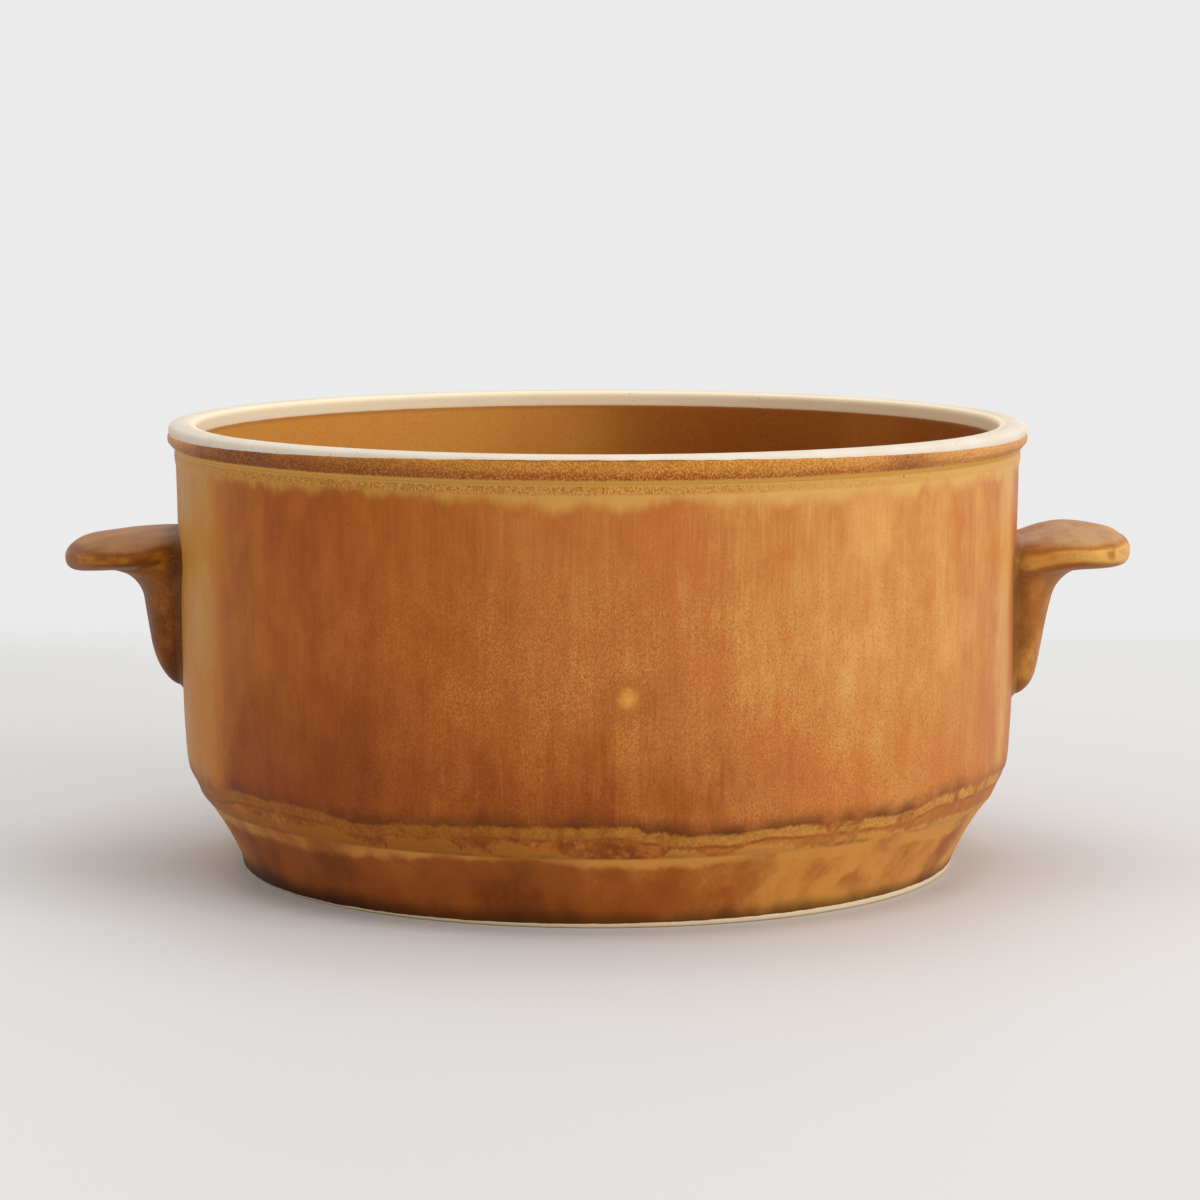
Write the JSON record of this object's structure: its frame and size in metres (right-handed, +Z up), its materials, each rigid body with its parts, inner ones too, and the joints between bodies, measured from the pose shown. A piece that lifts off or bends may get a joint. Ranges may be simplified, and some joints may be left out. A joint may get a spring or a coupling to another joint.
{
  "type": "lugged stoneware bowl",
  "caption": "Round straight-sided stoneware bowl with a beaded bare rim, a turned cone foot and flat lug handles luted to the wall.",
  "frame": {"origin": "centre of the foot, on the surface that the bowl stands on", "axes": "+Z up along the bowl's axis, +X through the right handle, -Y the side that the picture looks at"},
  "size_m": [0.1692, 0.136, 0.0705],
  "materials": {
    "amber_glaze": "satin amber and red-brown glaze, streaked, breaking ochre on edges",
    "bare_stoneware": "unglazed cream stoneware, matt"
  },
  "bodies": {
    "root": {"bowl_body": "amber_glaze", "left_handle": "amber_glaze", "right_handle": "amber_glaze", "left_luting_slip": "amber_glaze", "right_luting_slip": "amber_glaze"}
  },
  "joints": []
}
